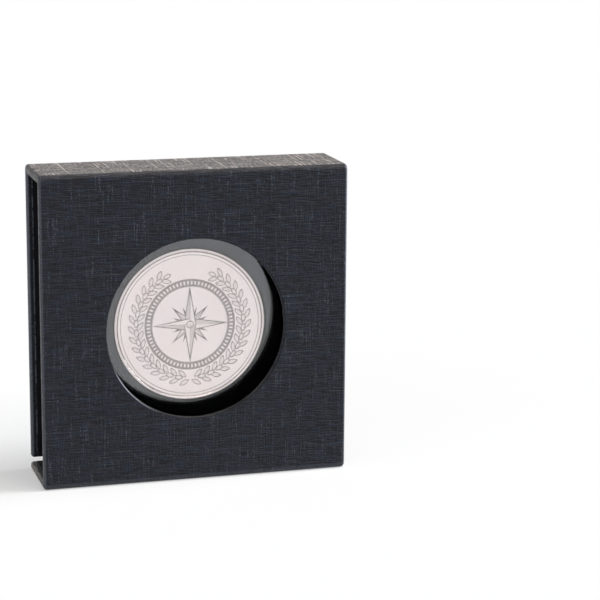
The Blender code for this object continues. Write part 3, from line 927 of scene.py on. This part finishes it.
class COINCASE_OT_cover(bpy.types.Operator):
    """Model the linen cover paper of the four boards, with the round window"""

    bl_idname = "coincase.cover"
    bl_label = "Cover paper"

    def execute(self, context):
        linen = linen_material()
        for part, body, *folds in BOARDS:
            hand_over(add_cover_panel(part, *folds), body, "cover_paper_" + part, "linen_paper",
                      linen)
        return {"FINISHED"}


class COINCASE_OT_folds(bpy.types.Operator):
    """Model the papers that cross each fold, behind the cover paper and under the linings"""

    bl_idname = "coincase.folds"
    bl_label = "Fold papers"

    def execute(self, context):
        size = sizes()
        linen, black = bpy.data.materials["linen_paper_finish"], lining_material()
        deep, bend = size.wrapped_board + size.glue_line / 2, 0.0001
        # Place, depth, radius, gap at the sides, finish, slot, and the blend's middle and span
        papers = (("outer", size.cover_paper + HAIR, size.fold_radius, size.edge_radius, linen,
                   "linen_paper", size.fold_radius * (1 - math.cos(QUARTER / 2)), 0.0008),
                  ("inner", deep, deep + bend, size.lining_reveal, black, "lining_paper",
                   deep + 0.3 * bend, 0.00007))
        for (_, before, *_), (part, after, *_) in zip(BOARDS, BOARDS[1:]):
            for place, depth, radius, side_gap, finish, slot, middle, span in papers:
                piece = add_sheet("fold_paper_" + part + "_" + place, fold_path(depth, radius),
                                  case_width / 2 - side_gap, size.fold_paper)
                stand(piece, part)
                finish_surface(piece, 60.0)
                give(piece, finish)
                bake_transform(piece)
        return {"FINISHED"}


class COINCASE_OT_linings(bpy.types.Operator):
    """Model the black lining papers with their pale cut edges"""

    bl_idname = "coincase.linings"
    bl_label = "Lining papers"

    def execute(self, context):
        finishes = (bpy.data.materials["lining_finish"], cut_edge_material())
        for part, body, *folds in BOARDS:
            hand_over(add_lining(part, finishes, *folds), body, "lining_" + part, "lining_paper")
        return {"FINISHED"}


# Tray and foam

def add_tray_wrap():
    """Linen wrap of the tray: a tube of paper turned in at the mouth and under the floor."""
    size = sizes()
    rim, wall = size.tray_rim, size.tray_wall
    middle, half = (tray_low + tray_high) / 2, (tray_high - tray_low) / 2
    item = add_rounded_block("tray_linen", tray_low, tray_high, size.tray_corner, 8)
    pick_faces(item, lambda spot, normal: abs(normal.y) > 0.9)
    bpy.ops.mesh.delete(type="FACE")
    leave_edit()

    def turn_over(edge_y, inward, steps):
        """Carry an open edge on through steps, each an inset and a depth from where it was."""
        pick(item, "EDGE", lambda edge: edge.is_boundary and near(edge.verts[0].co.y, edge_y))
        bpy.ops.transform.translate(value=(0, inward * rim, 0))
        for (inset, depth), (new_inset, new_depth) in zip([(0.0, rim), *steps], steps):
            extrude((0, inward * (new_depth - depth), 0))
            bpy.ops.transform.resize(
                value=((half.x - new_inset) / (half.x - inset), 1.0,
                       (half.z - new_inset) / (half.z - inset)), center_override=middle)
        leave_edit()

    turns = [QUARTER * i / TRAY_RIM_STEPS for i in range(1, TRAY_RIM_STEPS + 1)]
    outer = [(rim * (1 - math.cos(turn)), rim * (1 - math.sin(turn))) for turn in turns]
    inner = [(wall - rim + rim * math.sin(turn), rim * (1 - math.cos(turn))) for turn in turns]
    turn_over(tray_low.y, 1, [*outer, (wall - rim, 0.0), *inner, (wall, size.tray_turn_in)])
    turn_over(tray_high.y, -1, [*outer, (size.tray_turn_under, 0.0)])
    apply_modifier(item, "SOLIDIFY", thickness=size.cover_paper, offset=-1.0,
                   use_even_offset=True)
    return finish_surface(item, 50.0)


class COINCASE_OT_tray(bpy.types.Operator):
    """Model the tray's linen wrap and finish the board and plates in it"""

    bl_idname = "coincase.tray"
    bl_label = "Tray"

    def execute(self, context):
        hand_over(add_tray_wrap(), "base", "tray_wrap", "linen_paper",
                  bpy.data.materials["linen_paper_finish"])
        board = greyboard_material()
        for name in ("tray_shell", "back_board", "spine_board", "front_board", "flap_board"):
            dress_node(name, board)
        nickel = metal_material("nickel_finish", colours().nickel, 900, 0.18, 0.34)
        steel = metal_material("steel_finish", colours().steel, (400, 6000, 400), 0.32, 0.5)
        for side in ("left", "right"):
            dress_node("flap_magnet_" + side, nickel)
            dress_node("tray_plate_" + side, steel)
        return {"FINISHED"}


def add_foam():
    """Foam block with the capsule's pocket and a finger notch above and below it."""
    size = sizes()
    gap, front = size.clearance, foam_low.y
    item = add_rounded_block("foam_block", foam_low, foam_high, size.tray_corner, 6)
    cut(item, add_rounded_block("pocket", base_low, base_high, size.capsule_corner + gap, 10,
                                inset=-gap, front=front - REACH, back=base_high.y + gap))
    for sign, edge in ((1, base_high.z + gap), (-1, base_low.z - gap)):
        z = edge + sign * (size.notch_reach - size.notch_radius)
        cut(item, add_drum("notch", size.notch_radius, 96, (0, front - REACH, z),
                           (0, front + size.notch_depth, z), (QUARTER, 0, 0)))
    apply_modifier(item, "BEVEL", width=size.foam_rounding, segments=2, limit_method="ANGLE",
                   angle_limit=math.radians(40))
    return finish_surface(item, 50.0)


class COINCASE_OT_foam(bpy.types.Operator):
    """Model the foam insert with the capsule's pocket and two finger notches"""

    bl_idname = "coincase.foam"
    bl_label = "Foam insert"

    def execute(self, context):
        hand_over(add_foam(), "base", "foam_insert", "foam", foam_material())
        return {"FINISHED"}


# Capsule and coin

def round_face(item, depth, radius):
    """Round the outline of a plain face at a depth."""
    round_edges(item, lambda a, b: both_at(a, b, Y, depth), radius, 4)


def add_capsule_lid():
    """Front half of the capsule: a clear plate with a lip behind it."""
    size = sizes()
    edge, lip_out = size.capsule_edge, size.capsule_wall + size.clearance
    plate_back = lid_low.y + size.capsule_plate
    item = add_rounded_block("capsule_lid_clear", lid_low, lid_high, size.capsule_corner, 10,
                             back=plate_back)
    round_face(item, lid_low.y, edge)
    lip = add_rounded_block("lip", lid_low, lid_high, size.capsule_corner / 4, 4,
                            inset=lip_out, front=plate_back - edge)
    cut(lip, add_rounded_block("lip_hole", lid_low, lid_high, size.capsule_corner / 5, 4,
                               inset=lip_out + size.lip_wall, back=lid_high.y + edge))
    combine(item, lip, "UNION")
    return finish_surface(item)


def add_capsule_base():
    """Rear half of the capsule: a clear pan."""
    size = sizes()
    item = add_rounded_block("capsule_base_clear", base_low, base_high, size.capsule_corner, 10)
    cut(item, add_rounded_block("pan", base_low, base_high, size.capsule_corner / 4, 4,
                                inset=size.capsule_wall, front=base_low.y - size.capsule_edge,
                                back=base_high.y - size.capsule_plate))
    round_face(item, base_high.y, size.capsule_edge)
    return finish_surface(item)


def add_capsule_ring():
    """Black insert with a stepped outline and a round recess for the coin."""
    size = sizes()
    corner, radius = size.capsule_corner / 5, coin_radius + size.clearance
    shoulder = lid_high.y + size.clearance
    inset = lid_low.x + size.capsule_wall + 2 * size.clearance + size.lip_wall - ring_low.x
    item = add_rounded_block("ring_insert", ring_low, ring_high, corner, 4, front=shoulder)
    combine(item, add_rounded_block("ring_face", ring_low, ring_high, corner, 4, inset=inset,
                                    back=shoulder + size.capsule_edge), "UNION")
    cut(item, add_drum("recess", radius, 180, (0, ring_low.y - REACH, coin_middle.z),
                       (0, ring_high.y - size.ring_floor, coin_middle.z), (QUARTER, 0, 0)))
    round_edges(item, lambda a, b: both_at(a, b, Y, ring_low.y)
                and on_circle(a, b, Z, coin_middle.z, radius), size.ring_rounding, 3)
    return finish_surface(item)


class COINCASE_OT_capsule(bpy.types.Operator):
    """Model the two clear halves of the capsule and the black ring"""

    bl_idname = "coincase.capsule"
    bl_label = "Capsule"

    def execute(self, context):
        clear = clear_material()
        hand_over(add_capsule_lid(), "lid", "capsule_lid", "clear_plastic", clear)
        hand_over(add_capsule_base(), "capsule", "capsule_base", "clear_plastic", clear)
        hand_over(add_capsule_ring(), "capsule", "capsule_ring", "ring_foam", ring_material())
        return {"FINISHED"}


def coin_design(x, z):
    """Height and painted dark line of the coin's design, from 0 to 1, at places in millimetres.
    The dark line is painted shade and painted reflection along outlines, ridges and one facet of
    each point.

    A compass rose with sixteen points in a graded ring, a laurel branch on each side, and a
    fine line inside the rim.
    """
    height, line = np.zeros_like(x), np.zeros_like(x)
    radius, angle = np.hypot(x, z), np.arctan2(z, x)

    def raise_to(level, inside):
        """Lift the ground to a level where a shape is, and mark its outline with a painted dark
        line of shade.
        """
        np.maximum(height, level * soft_step(inside, -0.10, 0.10), out=height)
        np.maximum(line, 0.8 - 0.8 * soft_step(abs(inside + 0.05), 0.06, 0.18), out=line)

    def seen_along(turn, from_x=0.0, from_z=0.0):
        """Places along and across a direction from a middle."""
        x_in, z_in = x - from_x, z - from_z
        return (x_in * math.cos(turn) + z_in * math.sin(turn),
                z_in * math.cos(turn) - x_in * math.sin(turn))

    for count, reach, width, first in ROSE_POINTS:
        for i in range(count):
            along, across = seen_along(math.radians(first + 360.0 * i / count))
            room = width * (1 - along / reach)
            inside = np.where(along > 0, room - abs(across), -1.0)
            shape = soft_step(inside, -0.10, 0.10)
            facet = 0.45 + 0.55 * (1 - np.clip(abs(across) / np.maximum(room, 0.05), 0, 1))
            facet = np.where(across > 0, facet * 0.55, facet)
            height[:] = np.where(shape > 0.02, facet * shape, height)
            # Painted dark lines: shade and reflection along each point's outline and ridge, and
            # painted shade on one facet
            edge = 0.85 * (1 - soft_step(abs(inside), 0.05, 0.16)) * (along > 0)
            ridge = 0.6 * ((across > -0.09) & (across < 0.0) & (inside > 0))
            shade = 0.28 * ((across > 0) & (inside > 0.1))
            line[:] = np.maximum.reduce([np.where(shape > 0.9, 0.0, line), edge, ridge, shade])
    raise_to(0.8, 0.75 - radius)

    for ring in GRADED_RINGS:
        raise_to(0.5, 0.07 - abs(radius - ring))
    share = abs((np.degrees(angle) / GRADING_DEGREES + 0.5) % 1.0 - 0.5)
    beat = share * math.radians(GRADING_DEGREES) * radius
    raise_to(0.4, np.minimum(0.06 - beat, np.minimum(radius - GRADING[0], GRADING[1] - radius)))

    for side in (1, -1):
        for spot in LEAF_PLACES:
            for row, offset, tilt in LEAF_ROWS:
                place, far = spot + math.radians(3.2 * row), STEM_RADIUS + offset
                slant = place + QUARTER - tilt
                along, across = seen_along(slant if side > 0 else math.pi - slant,
                                           side * far * math.cos(place), far * math.sin(place))
                long = 1.25 if row < 2 else 1.0
                inside = 0.46 * (1 - np.clip(abs(along) / long, 0, 1) ** 2) - abs(across)
                inside = np.where(abs(along) < long, inside, -0.4)
                shape = soft_step(inside, -0.08, 0.10)
                vein = shape * (1 - soft_step(abs(across), 0.02, 0.10))
                level = 0.55 + 0.12 * row
                height[:] = np.where(shape > 0.02, level * shape - 0.15 * vein, height)
                # Painted dark lines of shade along each leaf's outline and vein
                edge = 0.85 * (1 - soft_step(abs(inside - 0.02), 0.04, 0.14))
                line[:] = np.maximum.reduce([np.where(shape > 0.6, 0.0, line),
                                             edge * (abs(along) < long + 0.05), 0.35 * vein])

    fine = 0.7 - 0.7 * soft_step(abs(radius - FINE_LINE_RADIUS), 0.04, 0.14)
    return height, np.maximum(line, fine)


def add_coin():
    """Coin spun from its profile. The design is pressed up from the front face in code."""
    size = sizes()
    front, back, rise, bevel = coin_low.y, coin_high.y, size.coin_rise, size.coin_bevel
    field, edge, middle_z = coin_radius - size.coin_rim, coin_radius - bevel, coin_middle.z
    rim = [(field + (edge - field) * out, front + rise * (1 - up)) for out, up in RIM_PROFILE]
    rim += [(edge, front), (coin_radius - bevel * 0.3, front + bevel * 0.3),
            (coin_radius, front + bevel)]
    profile = [(0.0, front + rise), *rim, *((r, front + back - y) for r, y in reversed(rim)),
               (0.0, back - rise)]
    item = draw_path("coin_struck", [(r, y, middle_z) for r, y in profile])
    pick_edges(item, lambda a, b: min(a.x, b.x) < 1e-6 and both_at(a, b, Y, front + rise))
    bpy.ops.mesh.subdivide(number_cuts=FIELD_CUTS)
    bpy.ops.mesh.select_all(action="SELECT")
    bpy.ops.mesh.spin(steps=COIN_STEPS, angle=2 * math.pi, center=(0, 0, middle_z),
                      axis=(0, 1, 0))
    bpy.ops.mesh.select_all(action="SELECT")
    bpy.ops.mesh.remove_doubles(threshold=1e-7)
    bpy.ops.mesh.normals_make_consistent(inside=False)
    leave_edit()

    spots = read_triples(item.data.vertices, "co")
    x, z = spots[:, 0] * 1000, (spots[:, 2] - middle_z) * 1000
    away = np.hypot(x, z)
    height, line = coin_design(x, z)
    face = (abs(spots[:, 1] - (front + rise)) < 1e-7) & (away < field * 1000 + 0.01)
    spots[:, 1] -= np.where(face, height * size.relief_height, 0.0)
    reed = (np.cos(np.arctan2(z, x) * REEDS) > 0) & (away > coin_radius * 1000 - 0.005)
    pull = np.where(reed, REED_SHARE, 1.0)
    spots[:, 0] *= pull
    spots[:, 2] = middle_z + (spots[:, 2] - middle_z) * pull
    item.data.vertices.foreach_set("co", spots.reshape(-1))
    # Painted shade at the foot of the rim; the rest of the front outside the field is darkened a
    # little
    foot = 1 - soft_step(abs(away - field * 1000 - 0.04), 0.04, 0.16)
    mark_points(item.data, "design_line_shade", np.where(spots[:, 1] < coin_middle.y,
                                                   np.where(face, line, 0.18) + 0.7 * foot, 0.0))
    item.data.update()
    choose(item)
    bpy.ops.object.shade_smooth_by_angle(angle=math.radians(40))
    return item


class COINCASE_OT_coin(bpy.types.Operator):
    """Model a silver-coloured coin with a generic struck design"""

    bl_idname = "coincase.coin"
    bl_label = "Coin"

    def execute(self, context):
        hand_over(add_coin(), "capsule", "coin", "coin_silver", coin_material())
        return {"FINISHED"}


# Stage

def add_floor():
    """White floor that takes the shadow and shows white where nothing shades it."""
    deselect_all()
    bpy.ops.mesh.primitive_grid_add(x_subdivisions=8, y_subdivisions=8, size=6.0)
    item = name_new("studio_floor")
    made, white = Finish("studio_floor_white"), colours().studio_white
    made.tree.nodes.remove(made.shader)
    lit = made.add("ShaderNodeBsdfDiffuse", in_Color=white).outputs[0]
    plain = made.add("ShaderNodeEmission", in_Color=white, in_Strength=1.0).outputs[0]
    share = made.times(made.seen_directly(), FLOOR_GLOW)
    blend = made.add("ShaderNodeMixShader", in_0=share, in_1=lit, in_2=plain).outputs[0]
    made.plug(made.tree.nodes["Material Output"].inputs[0], blend)
    give(item, made.material)


def add_surround():
    """White world, dimmer as a light than as a backdrop."""
    world = bpy.data.worlds.new("studio_surround")
    world.use_nodes = True
    made = Nodes(world.node_tree)
    ground = made.tree.nodes["Background"].inputs
    made.plug(ground[0], colours().studio_white)
    made.plug(ground[1], made.total((made.seen_directly(), 1 - SURROUND_LIGHT),
                                    start=SURROUND_LIGHT))
    bpy.context.scene.world = world


def add_lamp(name, place, spread_angle, strength, colour):
    """Distant soft light that shines from a place towards the middle of the case."""
    deselect_all()
    bpy.ops.object.light_add(type="SUN", location=place)
    lamp = bpy.context.object
    lamp.name = name
    lamp.data.angle = math.radians(spread_angle)
    lamp.data.energy = strength
    lamp.data.color = colour
    aim = Vector((0, 0, case_height / 2)) - Vector(place)
    lamp.rotation_euler = aim.to_track_quat("-Z", "Y").to_euler()


def add_camera():
    """Camera at the height and distance from which the case is seen, a little to its left."""
    yaw, pitch, roll = (math.radians(angle) for angle in CAMERA_ANGLES)
    turn = (Matrix.Rotation(-yaw, 3, "Z") @ Matrix.Rotation(QUARTER - pitch, 3, "X")
            @ Matrix.Rotation(roll, 3, "Z"))
    deselect_all()
    bpy.ops.object.camera_add(location=CAMERA_PLACE)
    camera = bpy.context.object
    camera.name = "studio_camera"
    camera.rotation_euler = turn.to_euler()
    camera.data.sensor_width = 36.0
    camera.data.lens = CAMERA_LENS
    camera.data.clip_start = 0.01
    bpy.context.scene.camera = camera


class COINCASE_OT_stage(bpy.types.Operator):
    """Set up the white floor, the soft light and the camera"""

    bl_idname = "coincase.stage"
    bl_label = "Stage"

    def execute(self, context):
        add_floor()
        add_surround()
        for lamp in LAMPS:
            add_lamp(*lamp)
        add_camera()
        context.scene.view_settings.view_transform = "Standard"
        return {"FINISHED"}


class COINCASE_PT_panel(bpy.types.Panel):
    """Sidebar panel of the coin display case"""

    bl_label = "Coin display case"
    bl_idname = "COINCASE_PT_panel"
    bl_space_type = "VIEW_3D"
    bl_region_type = "UI"
    bl_category = "Coin case"

    def draw(self, context):
        for operator in OPERATORS:
            self.layout.operator(operator.bl_idname)
        for group in (context.scene.coin_case_sizes, context.scene.coin_case_colours):
            column = self.layout.column()
            for name in type(group).__annotations__:
                column.prop(group, name)


OPERATORS = (COINCASE_OT_cover, COINCASE_OT_folds, COINCASE_OT_linings, COINCASE_OT_tray,
             COINCASE_OT_foam, COINCASE_OT_capsule, COINCASE_OT_coin, COINCASE_OT_stage)
CLASSES = (CaseSizes, CaseColours, *OPERATORS, COINCASE_PT_panel)


def register():
    for made in CLASSES:
        bpy.utils.register_class(made)
    bpy.types.Scene.coin_case_sizes = bpy.props.PointerProperty(type=CaseSizes)
    bpy.types.Scene.coin_case_colours = bpy.props.PointerProperty(type=CaseColours)


def unregister():
    del bpy.types.Scene.coin_case_colours
    del bpy.types.Scene.coin_case_sizes
    for made in reversed(CLASSES):
        bpy.utils.unregister_class(made)


def main():
    register()
    bpy.ops.coincase.cover()
    bpy.ops.coincase.folds()
    bpy.ops.coincase.linings()
    bpy.ops.coincase.tray()
    bpy.ops.coincase.foam()
    bpy.ops.coincase.capsule()
    bpy.ops.coincase.coin()
    bpy.ops.coincase.stage()


if __name__ == "__main__":
    main()
